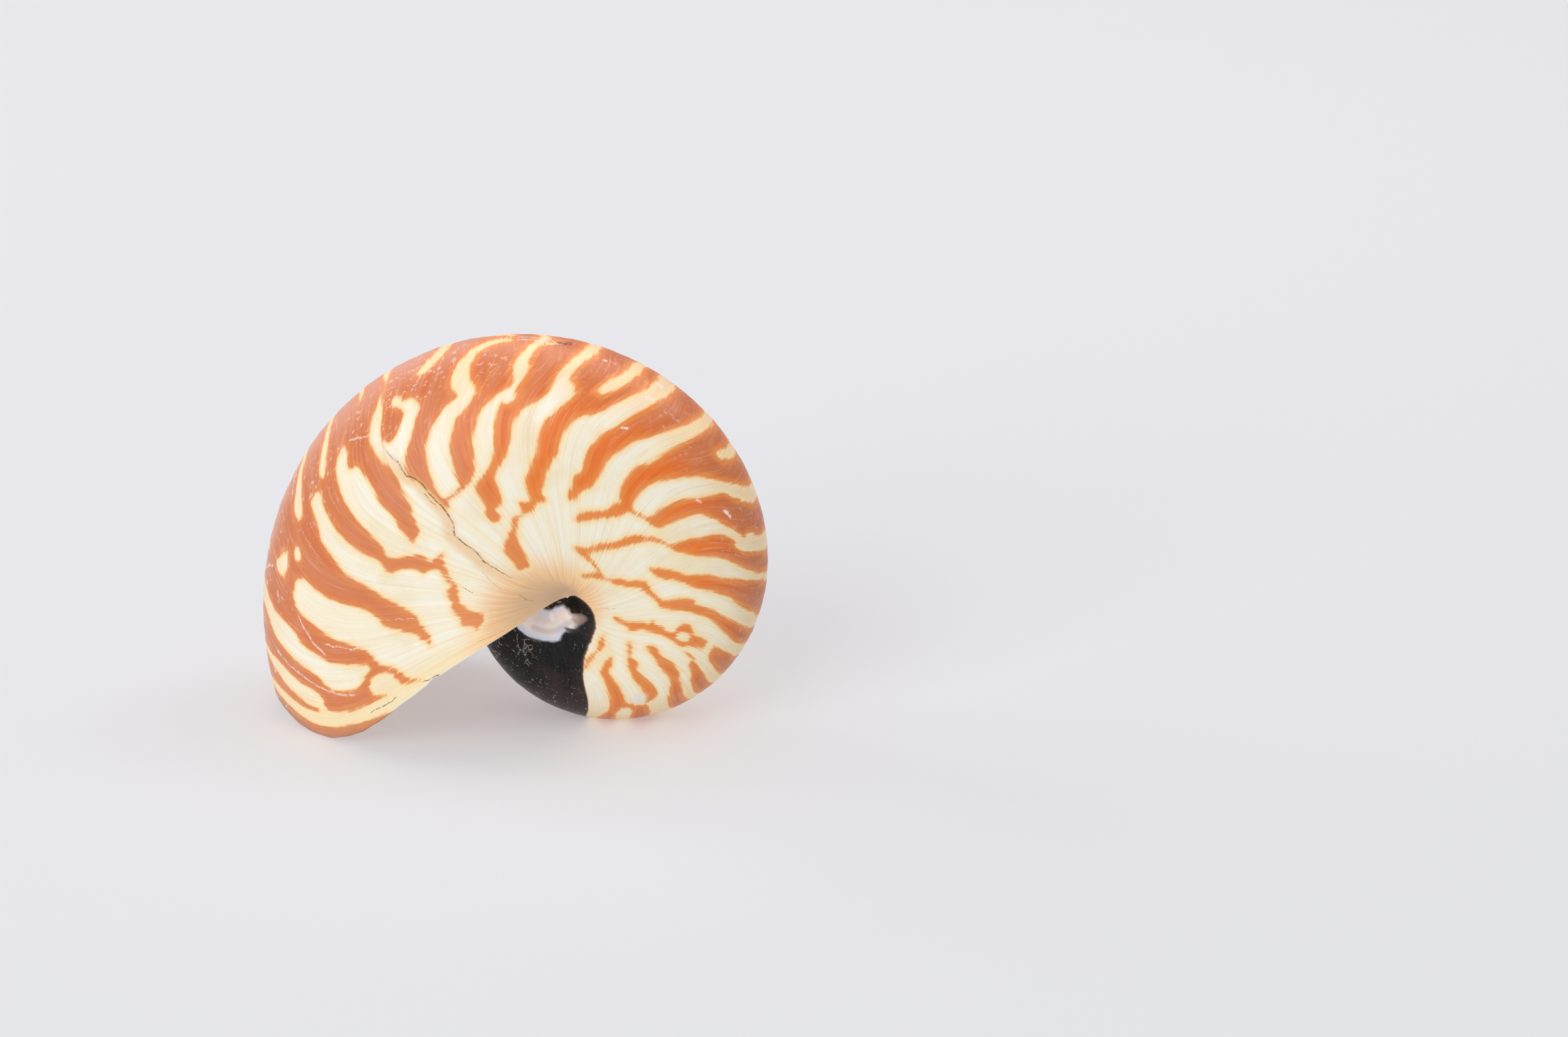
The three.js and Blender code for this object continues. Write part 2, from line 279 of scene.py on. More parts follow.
# The markings, as outlines on the shell's own chart: degrees of growth back from the lip, and
# hundredths of the way from the keel to the navel. The far side carries the near side's marks, but
# its stripes are moved a little, since the two sides of a real shell never match exactly.
STRIPES = [
    [
        (288, 58.5), (284.2, 62), (281.8, 64.2), (278.7, 65.2), (274.7, 66.6), (270, 67.2),
        (266, 68.6), (261.3, 70), (257.4, 71.2), (254.2, 72.3), (250.3, 73.6), (247.1, 74.3),
        (243.2, 74.8), (239.2, 75.1), (241.6, 74.2), (245.5, 73.2), (249.1, 71.5), (252.6, 70.2),
        (256.6, 69.3), (260.5, 68), (266, 67.2), (272.4, 65.7), (275.5, 63.8), (279.5, 62.9),
        (282.6, 60.8), (285, 58.6), (287.8, 57.8),
    ],
    [
        (286, -1), (285, 10), (285.3, 15), (284.2, 20), (282.8, 25), (281.8, 30), (281.4, 38),
        (280.6, 44), (279.2, 50), (277.8, 55), (274.5, 57.2), (270.5, 59.7), (266.5, 61.7),
        (262, 61.9), (259, 62.6), (263.5, 59.8), (266, 57.8), (270, 56.2), (272.8, 54), (273.1, 48),
        (273.6, 40), (273.9, 33), (272.3, 30), (269.8, 27.2), (266, 26.4), (264.2, 25), (263.3, 20),
        (263, 15), (264, 10), (266, -1), (274, -1), (272.4, 10), (271.4, 15), (271, 20),
        (270.6, 24), (272.5, 26), (276, 28), (277.6, 26), (278.4, 21), (277.8, 16), (278, 10),
        (279.5, -1),
    ],
    [
        (265, 27.2), (264, 30), (263.6, 33), (263.7, 38), (263.4, 43), (262.4, 47), (260, 51),
        (258, 53.5), (255.5, 56), (252, 57.5), (249, 59), (245, 61), (241, 63), (238.3, 63.5),
        (239.5, 61.5), (243, 59.8), (248, 58.2), (250.8, 56.5), (250.8, 55), (252.3, 51.5),
        (255, 50.3), (256.8, 49), (257.8, 45), (258, 40), (257.6, 35), (258.2, 31), (260, 27.5),
        (262.5, 26.8),
    ],
    [
        (257, -1), (255, 10), (255, 15), (254.6, 20), (254, 24), (252.5, 28), (250.5, 31),
        (249, 35), (248.3, 40), (246.3, 45), (243.5, 49), (240.8, 52), (239, 54.5), (237.2, 54.5),
        (236.6, 52.5), (237.5, 50), (240, 48), (241.3, 45), (242, 40), (243, 36), (243.8, 33),
        (246, 31), (246.5, 28), (247, 25), (248, 20), (247.8, 15), (247.3, 10), (249, -1),
    ],
    [
        (245.5, -1), (243.5, 10), (243.2, 16), (243, 21), (242, 25), (239.8, 28), (239, 31.5),
        (237.5, 32.5), (235.4, 32.2), (234.8, 36), (234.1, 38.6), (233.7, 36), (234.3, 33),
        (235.5, 29), (235.9, 25), (235.9, 20), (236.5, 15), (237.3, 10), (239, -1),
    ],
    [
        (234.5, -1), (232.5, 10), (231.7, 15), (231.2, 20), (230.8, 25), (229.5, 26.6),
        (224.9, 26.2), (224.5, 22), (223.4, 17), (223.3, 13), (224.5, 9), (226, -1),
    ],
    [
        (229.1, 30), (229.4, 34), (230.5, 37.5), (231.9, 40.5), (231.9, 42.5), (230.9, 45.2),
        (229.7, 47.5), (229, 50), (227.5, 53), (226.6, 56), (226.3, 59), (225, 61), (226.8, 64.5),
        (227, 66), (224.5, 68), (222, 70.5), (219.5, 73), (216, 74.7), (211.5, 75.8), (214.5, 73.3),
        (217.5, 71), (218.6, 68), (219, 64), (219.4, 61), (220.8, 59.5), (218.3, 57.8), (221.5, 56),
        (222.5, 53), (225, 51), (225.3, 48.5), (225, 46.8), (221.5, 45.6), (219.8, 43),
        (220.5, 40.5), (223, 39.4), (224.5, 37.4), (224.5, 34), (224.4, 30),
    ],
    [
        (223, -1), (220.3, 5), (219.1, 10), (218.7, 15), (218.3, 20), (217.7, 25), (216.8, 30),
        (215.2, 35), (214.4, 40), (213, 45), (212.2, 50), (211, 53), (209.9, 55), (208.9, 56.2),
        (205, 57.6), (201, 59.5), (197, 61.2), (194, 63), (190.5, 65.5), (187.5, 68), (183, 70.5),
        (178.5, 73), (174, 74.9), (170, 75.8), (165, 77.6), (160, 79.2), (155, 80.3), (150, 81.7),
        (145, 83), (137, 83), (143, 81.8), (150, 80), (155, 78.3), (160, 76.4), (166, 76),
        (171, 74.3), (175, 72), (180, 69), (184, 67), (186, 64.5), (188.5, 62), (191.5, 60.3),
        (197, 59.5), (202, 57.3), (205.8, 55), (206.1, 52), (206.4, 49), (207, 45), (207.7, 41.2),
        (209, 40.5), (210.6, 40.5), (211, 35), (211.7, 31), (212.6, 28), (212.2, 20), (212.3, 15),
        (212.7, 10), (214.5, 5), (217, -1),
    ],
    [
        (213, -1), (210.5, 5), (207.1, 10), (206.1, 15), (205.9, 20), (204.9, 25), (204.5, 30),
        (203.9, 35), (202.8, 40), (201.2, 43), (200, 45), (197.2, 48), (195.7, 50), (194, 53),
        (192.3, 55), (189.5, 56.6), (185.5, 57.9), (183, 58.2), (186.5, 56), (187.5, 54), (190, 51),
        (192.1, 48), (194.5, 46), (196, 43), (196.8, 40), (197, 35), (198.2, 30), (198, 25),
        (197, 20), (196.4, 15), (196.4, 11), (197.5, 7), (199.5, 4), (202.5, -1),
    ],
    [
        (200, -1), (196.4, 5), (194.1, 10), (193.3, 15), (192.7, 20), (191.5, 25), (190.5, 30),
        (189.9, 35), (188.2, 40), (186.6, 43), (183.8, 46), (180, 47.6), (176, 50), (173, 53),
        (170, 56), (167, 59.5), (164, 62.5), (160, 65), (155, 68), (150, 70.2), (145, 72.8),
        (142, 74.6), (150, 75), (158, 75.9), (158, 76.6), (150, 76.1), (143, 76.1), (137, 75.8),
        (133.5, 74.8), (130, 74.2), (137, 73), (143, 71), (148, 68.5), (155, 65.5), (160, 62),
        (163, 58.5), (165.5, 55.5), (170, 53.5), (173, 50.5), (176, 48.5), (180, 46.5), (181.2, 45),
        (181.5, 42), (182.1, 38), (183.2, 34.5), (182.5, 30), (182.4, 25), (183.5, 21.5),
        (186.5, 20.2), (187.3, 17), (187, 13), (187.5, 9), (190, 4), (192.5, -1),
    ],
    [
        (186.5, -1), (185, 4), (183.5, 8), (181.5, 11), (181, 13.4), (182.8, 15.2), (182.4, 17),
        (180, 19.5), (178.8, 23), (176.5, 27), (174.5, 30), (174, 35), (173.5, 40), (172.8, 44),
        (171.8, 47), (169, 48.5), (167, 48.6), (160, 50.6), (156, 52), (156, 51), (160, 49.6),
        (166.4, 47.3), (166.4, 44), (166.8, 40), (167.5, 35), (168.3, 31), (168.9, 28), (168.7, 22),
        (168, 18), (168.5, 16.5), (170.7, 14.5), (171.2, 12), (173, 9), (175.5, 5), (177.3, -1),
    ],
    [
        (172.4, -1), (171.6, 3), (169.5, 7), (167.2, 10), (165.6, 13), (164.9, 15), (162.9, 20),
        (162.1, 25), (160.9, 30), (159.1, 35), (157.2, 40), (156.8, 45), (157.2, 48.8), (159.5, 50),
        (158.5, 50.8), (156, 53), (153.5, 55.5), (150, 57.6), (145, 60.1), (140, 62.6), (136.5, 64),
        (133, 64.6), (131, 64.6), (134.5, 62), (136.5, 60.5), (141, 59), (146, 57), (149, 54.5),
        (150.5, 52), (152.5, 50.7), (150.5, 49), (149.7, 45), (149.8, 40), (150.2, 36), (151.8, 34),
        (152.2, 30), (151.6, 25), (150.8, 20), (150.3, 15), (150.2, 11), (151, 7), (153.3, 3),
        (154.5, -1), (160.6, -1), (158.8, 5), (156.9, 9), (156.6, 11.4), (158.6, 11.2),
        (160.5, 7.5), (163, 2.5), (164.2, -1),
    ],
    [
        (150.2, -1), (149.5, 3), (148.6, 5), (146.8, 10), (146.2, 15), (146, 20), (145.4, 25),
        (143.8, 30), (143, 35), (141.2, 40), (141, 45), (140.5, 48), (139.5, 50), (138.1, 52),
        (135.9, 53.7), (133.9, 55.2), (132.4, 57.2), (130, 58.4), (128.2, 58.2), (129, 56),
        (130.5, 53.5), (130.7, 51), (131.5, 49.5), (133.5, 48), (134, 46), (133.7, 43), (134, 39),
        (135, 36), (135.3, 33), (136.5, 30), (137, 26), (137, 20), (137, 15), (137.3, 11),
        (138.5, 7), (140.3, 3), (140.8, -1),
    ],
    [
        (137.5, -1), (134.7, 5), (133, 10), (132.2, 15), (131.6, 20), (131.2, 23), (131.2, 25),
        (130.4, 27), (128.4, 29), (126.4, 31), (125.5, 35), (124.9, 40), (124.7, 43), (124.3, 45),
        (122.7, 47), (121.1, 50), (119.7, 52), (118.5, 55), (117, 57), (116.6, 58.8), (118.5, 60),
        (117, 60.8), (113, 61.7), (109, 64), (105, 65.1), (100, 66.5), (96, 69.5), (92.5, 73),
        (90, 76.5), (89, 79.5), (87.5, 81.5), (85, 82.3), (80, 82.6), (75.5, 82.4), (78, 80),
        (78.5, 77), (80.5, 74.5), (84, 73.3), (87.5, 72), (90, 70.8), (93, 69), (96, 67.2),
        (99.5, 65.5), (103.5, 64.8), (104.2, 63), (104.8, 60.7), (108, 61.2), (111, 60.8),
        (110.5, 58), (110.7, 56), (111.5, 53.5), (113, 51.5), (114.8, 50.5), (115.5, 48), (117, 46),
        (117.5, 44), (117.6, 40), (118.5, 35), (120, 31), (121, 27), (121.7, 24), (120, 21),
        (118, 19.5), (116.7, 17.5), (116.2, 15), (116.4, 12), (117.5, 9), (119.5, 5), (121, 2),
        (121.6, -1), (129.4, -1), (128.6, 3), (127.2, 7), (125.8, 10.5), (124.9, 13.5), (124.7, 17),
        (125.1, 20), (126, 20.6), (127, 19.4), (127.8, 16.5), (128, 13.5), (128.8, 9.5),
        (130.4, 5.5), (131.8, 2), (132.7, -1),
    ],
    [
        (118.6, -1), (116.6, 5), (114.2, 10), (113.4, 15), (114, 20), (115.2, 23.5), (115.3, 25.3),
        (114.6, 27), (113, 29), (111.4, 31), (110, 35), (109.5, 40), (108.7, 43), (107.7, 45),
        (106.1, 47), (103.9, 49), (102.4, 50), (100.8, 52), (100, 54), (99.6, 56), (99, 58),
        (98, 60), (96, 61.2), (93, 62.2), (93.6, 64.4), (91, 65.6), (88, 65.5), (87.4, 64),
        (88.5, 62), (90.5, 60.8), (90.9, 58), (91.3, 55), (93, 53), (96, 51.5), (98.5, 50),
        (101, 48), (103, 45.5), (104, 42), (104.6, 38), (104.8, 32), (105.2, 28.6), (107, 30),
        (108.3, 28), (107.2, 24), (107, 20), (106.5, 17), (105.2, 14), (105, 11), (105.8, 8),
        (108, 4.5), (110, 2), (112, -1),
    ],
    [
        (109.6, -1), (107.3, 2.5), (104.7, 5.6), (102.8, 10), (102.2, 15), (103.1, 18), (104.1, 20),
        (105.2, 22.4), (104.9, 24), (103.1, 26), (101.6, 28), (100.4, 30), (99.6, 32), (99, 35),
        (97.6, 40), (96.8, 45), (96, 47), (94.9, 49), (92.9, 51), (90, 52.4), (85, 53.4),
        (80.5, 54.2), (80, 53.2), (85, 52.6), (87.6, 51.6), (88, 50.3), (88.7, 48), (89.5, 45),
        (90.5, 40), (92, 37), (93, 34), (93.5, 31.5), (95.3, 30), (96.5, 28), (97.2, 25),
        (96.5, 23.5), (95.5, 22), (94, 20), (92.5, 17), (92, 14), (92.3, 11), (93, 9), (96.8, 6.4),
        (100.2, 5.4), (100.6, 4.2), (96, 4.4), (92, 6.4), (90, 9.6), (88.6, 13), (88.3, 17),
        (89, 20), (91, 23.5), (92.6, 25), (90, 27), (88, 30), (86, 33), (84, 36), (83, 40),
        (81.5, 45), (80, 49), (79.4, 52), (80.5, 54), (78.6, 55.4), (77.3, 56.5), (77.4, 52),
        (77.6, 48), (77.3, 45), (75.8, 42.5), (76.2, 40), (76.8, 37), (79, 34), (80.5, 32),
        (81.3, 30), (82, 27), (82.8, 25), (82.3, 23), (80, 20.5), (77.5, 20.2), (76.2, 18.2),
        (74, 16.6), (73.2, 17.6), (74.6, 20.4), (77, 22.4), (78.5, 24), (77.5, 26.5), (76, 29),
        (73.5, 29.5), (72.3, 28), (71.7, 25), (71.9, 22), (71.6, 19), (70.4, 16), (70.7, 12),
        (71.6, 8), (72.4, 4), (73, -1),
    ],
    [
        (70, -1), (70.2, 6), (70.6, 11), (69.5, 15), (68.5, 20), (68.3, 25), (69, 28), (69.8, 30),
        (71, 33), (72, 36), (73, 39), (72.5, 41), (71.5, 43), (71.3, 45), (70.5, 48), (68.5, 50.5),
        (66.5, 53), (65, 55), (63, 56.2), (61, 56.1), (59.2, 56.8), (60.3, 54.5), (61.5, 51.5),
        (63.5, 48), (64.3, 45), (64.5, 40), (65.3, 38), (65.3, 34), (64.3, 30), (63.5, 28.5),
        (61.5, 28), (60.8, 26), (61.3, 23.5), (60.6, 21), (59.5, 20.2), (58, 22), (57, 24),
        (56.9, 30), (56.8, 35), (56.3, 40), (55.8, 43), (55, 46), (54, 49), (52.5, 51), (51, 52),
        (50.6, 53.5), (52, 55.5), (54, 58), (55.5, 60), (54.8, 62), (54, 63.8), (57, 64.4),
        (61, 65), (57, 65.6), (55, 67), (51.5, 69), (48, 71), (45, 73.5), (41, 74.5), (37, 75.1),
        (33, 76.5), (29.5, 79), (26.5, 81), (24.5, 83), (20, 83.3), (16, 83), (12.3, 82.5),
        (15, 81.5), (17, 80), (19, 78.5), (21, 77.5), (24, 77.5), (27, 76), (29.5, 74.8), (34, 74),
        (38, 72.5), (40.5, 71.5), (45, 72), (46, 70.5), (49, 68.5), (52, 66.5), (51, 65), (48, 64),
        (48.7, 62), (49, 60), (48, 57.5), (45.4, 54.6), (48.5, 52), (49.2, 50), (49.3, 45),
        (50, 38), (50.5, 32), (50.7, 27), (51, 25), (50.5, 23.5), (48, 22.7), (46.6, 23.2),
        (47, 27), (46.3, 30), (45, 32), (44.3, 35), (44, 37), (43, 40), (41.7, 43), (41, 47),
        (40.3, 50), (38.5, 53), (37, 55.5), (35.5, 58.5), (34, 60.5), (31.5, 63), (29.5, 65),
        (25, 67), (20, 69), (17, 70), (13, 70.2), (16, 69), (18, 67.5), (20, 66.5), (22, 64.5),
        (24, 62), (25.5, 59.5), (27.5, 56.7), (29.5, 55.5), (31, 54), (32.5, 52), (33.5, 48),
        (33.8, 43), (34.2, 39), (34.5, 33), (34.5, 31), (33.5, 29), (31.5, 27.7), (29.5, 27.5),
        (27.5, 28.5), (26.5, 30.5), (26.2, 35), (25, 39), (23.8, 43), (22.5, 47), (21.3, 50),
        (20.5, 52), (18.5, 53), (16.5, 54.5), (14.5, 55.5), (13, 58), (11, 60), (8, 61.5),
        (5, 63.5), (3.3, 65), (2.4, 66.2), (3.5, 63.4), (5, 61), (8, 59.5), (10.5, 58.5), (12, 56),
        (11.8, 53), (11, 51.8), (9.5, 51.4), (7.5, 51.8), (6, 53.4), (4.6, 56), (5.4, 52.5),
        (5.5, 49), (5.5, 44), (5.8, 40), (6.3, 37), (7, 36.2), (9, 36), (10, 35), (10.7, 33),
        (10.7, 30), (11, 25), (11, 22), (10.5, 19), (10, 16), (9.4, 10), (9, -1), (17, -1),
        (17.4, 8), (17, 15), (16, 19), (15.5, 22), (15.6, 25), (15.2, 28), (14.9, 33), (14, 36),
        (12, 38), (11, 40), (10.5, 42), (10, 45), (10, 47.5), (11, 49), (12.3, 50.6), (13.5, 52.3),
        (14.5, 52.8), (16, 52), (16.5, 50), (17.2, 45), (17.8, 41), (18.8, 38.5), (19.3, 36),
        (19.8, 33), (20.5, 31), (21.5, 29.5), (21.6, 27), (21.3, 24), (20.6, 21), (20.5, 17),
        (21.3, 12), (22, -1),
    ],
    [
        (9, -1), (8.2, 10), (7.6, 17), (7.3, 22), (7, 27), (6.5, 30), (6.3, 33.5), (6, 34.6),
        (5.5, 33), (5.3, 28), (5, 22), (4.5, 17), (3.7, 12), (3.4, -1),
    ],
    [
        (2.2, -1), (2.1, 10), (2.1, 15), (2.4, 20), (2.4, 25), (2.2, 30), (2.3, 35), (2.1, 40),
        (2.2, 43), (1.7, 46), (1.2, 50), (0.7, 53), (-1, 57), (-4, 57), (-4, -1),
    ],
]
STRIPE_GAPS = [
    [
        (229.3, 42.2), (228.4, 44.8), (226.6, 45.8), (224.6, 44.6), (224, 42.3), (224.8, 39.8),
        (226.6, 38.8), (228.6, 39.8),
    ],
    [
        (54.8, 11), (54, 18), (53.5, 21.5), (52.5, 22.6), (51.6, 21), (51.7, 18), (52.5, 15.5),
        (53.6, 11), (55.5, 4), (57.5, -1), (59, -1), (57, 5),
    ],
    [
        (46, 11), (44.6, 15), (44, 19), (43.3, 22.5), (41.5, 22.8), (40.3, 20), (40.3, 17.5),
        (42, 15), (44, 10.5), (47, 4), (48.4, -1), (50, -1), (48.4, 5),
    ],
    [
        (34.7, 22.3), (31, 23.6), (29.4, 23.2), (28.4, 20.6), (28.2, 18.4), (29.5, 17.4), (31, 19),
        (32.8, 20.6),
    ],
    [
        (38.6, 26), (37.6, 27.7), (36.2, 27.6), (35.3, 26), (36.4, 24.7), (37.8, 24.8),
    ],
    [
        (83.5, 9), (82, 12.4), (80, 13.4), (78.4, 12.4), (80, 9.4), (83, 5), (86, -1), (88, -1),
        (86, 5),
    ],
    [
        (66, -1), (65.4, 6), (64, 10), (63.4, 10), (64, 5), (64.4, -1),
    ],
    [
        (31, -1), (29.6, 6), (27.6, 10), (26.8, 9.6), (28, 5), (29, -1),
    ],
]

# Where the black film laid over the older turn ends, from the keel up to the navel's rim
FILM = [
    (292, -1), (290, 0), (290.1, 9.4), (290.3, 13.7), (291.1, 19.7), (292.3, 26.5), (293.5, 31.7),
    (294.1, 36.8), (294.4, 41.9), (294.2, 47.1), (293.5, 50.5), (292.3, 54.3), (290.5, 56.9),
    (288.6, 59.5), (286.6, 61.6), (284.2, 64.2), (281, 66.8), (277.9, 68.6), (274.3, 70.2),
    (270, 72.3), (266, 73.8), (260.5, 75.1), (255.4, 76.9), (250.3, 77.9), (244.7, 79.2),
    (240, 79.8), (235.3, 80.9), (229.7, 82), (220.1, 83.9), (210.3, 85.4), (200, 87.1),
    (190.5, 88.8), (183.4, 90.7), (176, 93), (170, 96), (170, 101), (385, 101), (392, 60),
    (388, 30), (392, -1),
]
# The pearly pad that closes the navel beside the lip, over the film, and the fold across it
PAD = [
    (372, 50), (349.8, 56.5), (342, 59.2), (331, 64.1), (318, 68.4), (309, 71), (304, 72.5),
    (300.5, 74.6), (298, 77), (293, 78.8), (284.5, 79.8), (266, 81.5), (254.5, 83.1), (242.2, 85),
    (231, 86.8), (226, 89.5), (231, 92), (241.2, 93.8), (262.2, 95.6), (290, 96), (314.8, 94.3),
    (333.8, 90.5), (337.5, 86.4), (344.8, 82), (372, 77),
]
PAD_FOLD = [(344, 67), (337.5, 69.5), (326, 73), (309.8, 78), (296, 82.1), (276.8, 86.5), (258, 88)]
# A healed break, from the navel's side down to the flank
SCAR = [
    (66.2, 85.6), (64.7, 78.7), (65.5, 74.5), (67.5, 71.9), (69.1, 66.8), (70.1, 63.3),
    (72.6, 61.6), (75, 59.5), (76.6, 56.9), (77.2, 53.9), (77.5, 48.8), (77.6, 45.3), (77, 42.8),
    (75.4, 40.9), (75, 36), (73, 31.7), (71.5, 26),
]

# What a degree and a hundredth of the chart measure at each vertex, in millimetres
share_here = np.interp(np.abs(latitude), latitude_at, plain_share)
size_here = REACH / MM * TURN_GROWTH ** ((growth + lip_lead(latitude)) / FULL_TURN)
degree_length = np.maximum(np.radians(1) * share_here, 0.001) * size_here
hundredth_length = OUTLINE_LENGTH * size_here / 100

DEPTH_LIMIT = 9.0  # millimetres
OUT_OF_REACH = 99.0
MARGIN = (10, 9)  # degrees and hundredths round a line within which distances are worked out
BATCH = 4000
CORNER_CUT = 0.2


def rounded(corners):
    """A closed outline with each corner cut once."""
    start = np.array(corners, float)
    side = np.roll(start, -1, 0) - start
    cuts = [start + side * CORNER_CUT, start + side * (1 - CORNER_CUT)]
    return np.stack(cuts, 1).reshape(-1, 2)


def line_distance(corners, back_turn, height, closed=True):
    """Millimetres from every vertex to a line on the chart, and whether the line goes round it."""
    start = corners if closed else corners[:-1]
    end = np.roll(corners, -1, 0) if closed else corners[1:]
    low = corners.min(0) - MARGIN
    high = corners.max(0) + MARGIN
    near = (back_turn > low[0]) & (back_turn < high[0]) & (height > low[1]) & (height < high[1])
    picked = np.nonzero(near)[0]
    distance = np.full(len(back_turn), OUT_OF_REACH)
    within = np.zeros(len(back_turn), bool)
    for batch in np.array_split(picked, max(1, len(picked) // BATCH)):
        scale = np.stack([degree_length[batch], hundredth_length[batch]], -1)[:, None]
        here = np.stack([back_turn[batch], height[batch]], -1)[:, None]
        to_start = (start - here) * scale
        along = (end - start) * scale
        square = np.maximum((along**2).sum(-1), 1e-12)
        foot = np.clip(-(to_start * along).sum(-1) / square, 0, 1)
        gap = to_start + along * foot[..., None]
        distance[batch] = np.sqrt((gap**2).sum(-1)).min(1)
        above = (start[:, 1] > here[..., 1]) != (end[:, 1] > here[..., 1])
        rise = np.where(end[:, 1] == start[:, 1], 1, end[:, 1] - start[:, 1])
        cross = start[:, 0] + (here[..., 1] - start[:, 1]) / rise * (end[:, 0] - start[:, 0])
        within[batch] = (above & (here[..., 0] < cross)).sum(1) % 2 == 1
    return distance, within


def depth_in(outlines, back_turn, height):
    """Millimetres inside the outlines, and below 0 outside them."""
    depth = np.full(len(back_turn), -DEPTH_LIMIT)
    for corners in outlines:
        distance, within = line_distance(rounded(corners), back_turn, height)
        depth = np.maximum(depth, np.where(within, distance, -distance))
    return np.minimum(depth, DEPTH_LIMIT)


# The stripes cross the keel in a smooth bend. On the far side they are moved by up to 5 degrees
# and 3.5 hundredths, and less towards the keel.
KEEL_BEND = 4
FAR_TURN = 3.2
FAR_RIPPLE = 1.6
FAR_HEIGHT = 3.5
OLDEST_STRIPE = 291
far = latitude < 0
far_fade = np.clip((np.abs(latitude) - 0.02) / 0.3, 0, 1) * far
far_turn = FAR_TURN * np.sin(growth * 0.11 + 4 * latitude) + FAR_RIPPLE * np.sin(growth * 0.31)
far_height = FAR_HEIGHT * np.sin(growth * 0.17 + 1)
moved_turn = -growth + far_fade * far_turn
moved_height = np.hypot(latitude * 100, KEEL_BEND) + far_fade * far_height
outer = outside | lip
stripe_depth = depth_in(STRIPES, moved_turn, moved_height)
stripe_depth = np.minimum(stripe_depth, -depth_in(STRIPE_GAPS, moved_turn, moved_height))
stripe_depth[~outer | (growth < -OLDEST_STRIPE)] = -DEPTH_LIMIT
back_turn = -growth
height = np.abs(latitude) * 100
film_depth = depth_in([FILM], back_turn, height)
film_depth[~outer] = -DEPTH_LIMIT
pad_depth = depth_in([rounded(rounded(PAD))], back_turn, height)
pad_depth[~outer] = -DEPTH_LIMIT
fold_points = np.array(PAD_FOLD, float)
fold_distance, _ = line_distance(fold_points, back_turn, height, closed=False)

# The scar's distance is below 0 on its older side. It fades towards both ends.
scar_points = np.array(SCAR, float)
scar_distance, _ = line_distance(scar_points, back_turn, height, closed=False)
scar_turn = np.interp(height, scar_points[::-1, 1], scar_points[::-1, 0])
scar_side = np.minimum(scar_distance, DEPTH_LIMIT) * np.where(back_turn < scar_turn, 1, -1)
scar_strength = np.clip((height - SCAR[-1][1]) / 12, 0, 1) * np.clip((SCAR[0][1] - height) / 8, 0, 1)
scar_strength *= outer & ~far

# Relief along the surface's own normals, in millimetres: the pad's bulge and fold, the step at the
# healed break, a nick in the keel, shallow waves where growth paused, and the siphon's hole.
PAD_BULGE = 1.4
PAD_SHOULDER = 3.4
PAD_FOOT = 0.4
FOLD_DEPTH = 0.6
FOLD_HALF_WIDTH = 0.8
SCAR_STEP = 0.5
SCAR_EDGE = 0.3
SCAR_SLOPE = 5
NICK_TURN = 111.3  # degrees back from the lip
NICK_DEPTH = 1.3
NICK_RADIUS = 1.7
WAVE_HEIGHT = 0.05
SIPHON_RADIUS = 2.2
SIPHON_DEPTH = 5
relief = PAD_BULGE * np.clip((pad_depth + PAD_FOOT) / PAD_SHOULDER, 0, 1) ** 0.7
relief -= FOLD_DEPTH * np.exp(-((fold_distance / FOLD_HALF_WIDTH) ** 2)) * (pad_depth > 0)
younger = np.clip((scar_side + SCAR_EDGE) / (2 * SCAR_EDGE), 0, 1)
fading = np.exp(-np.maximum(scar_side, 0) / SCAR_SLOPE)
relief -= SCAR_STEP * younger * fading * scar_strength
nick_away = np.hypot((growth + NICK_TURN) * 0.8, latitude * 100)
relief -= NICK_DEPTH * np.exp(-((nick_away / NICK_RADIUS) ** 2)) * outer
wave = np.sin(growth * 0.83 + 5 * latitude**2) + np.sin(growth * 0.37 + 1.3 + 7 * latitude)
wave += 0.8 * np.sin(growth * 1.9 + 3 * latitude)
inland = np.clip(-growth / 12, 0, 1) * np.clip((0.85 - np.abs(latitude)) / 0.2, 0, 1)
relief += WAVE_HEIGHT * wave * inland * outer * (size_here / size_here.max())
middle = points[septum & (np.abs(latitude) < 0.001) & (value == 0.5)][0]
siphon_away = np.linalg.norm(points - middle, axis=1) / MM
siphon_hole = np.clip(SIPHON_RADIUS + 0.5 - siphon_away, 0, 1) * septum
relief -= SIPHON_DEPTH * siphon_hole
normals = np.empty(len(points) * 3)
shell_mesh.vertices.foreach_get("normal", normals)
points += normals.reshape(-1, 3) * (relief * MM)[:, None]
points[:, 2] = np.maximum(points[:, 2], GROUND)
shell_mesh.vertices.foreach_set("co", points.ravel())
shell_mesh.update()

# What the material reads at every vertex. Older than FILM_END, the coil is bare pearl.
FILM_END = 388
marks = {
    "stripe": stripe_depth,
    "film": film_depth,
    "pad": pad_depth,
    "fold": np.minimum(fold_distance, DEPTH_LIMIT),
    "scar": scar_side,
    "scar_strength": scar_strength,
    "pearl": np.where(outer & (growth > -FILM_END), 0.0, 1.0),
    "siphon": siphon_hole,
    "edge": np.where(outer, lip_end - growth, DEPTH_LIMIT),
    "height": np.abs(latitude),
    "growth": growth,
}
for name, numbers in marks.items():
    attribute = shell_mesh.attributes.new(name, "FLOAT", "POINT")
    attribute.data.foreach_set("value", numbers.astype(np.float32))
chart = np.stack([growth, latitude * 100, np.zeros(len(growth))], -1).astype(np.float32)
chart_attribute = shell_mesh.attributes.new("chart", "FLOAT_VECTOR", "POINT")
chart_attribute.data.foreach_set("vector", chart.ravel())


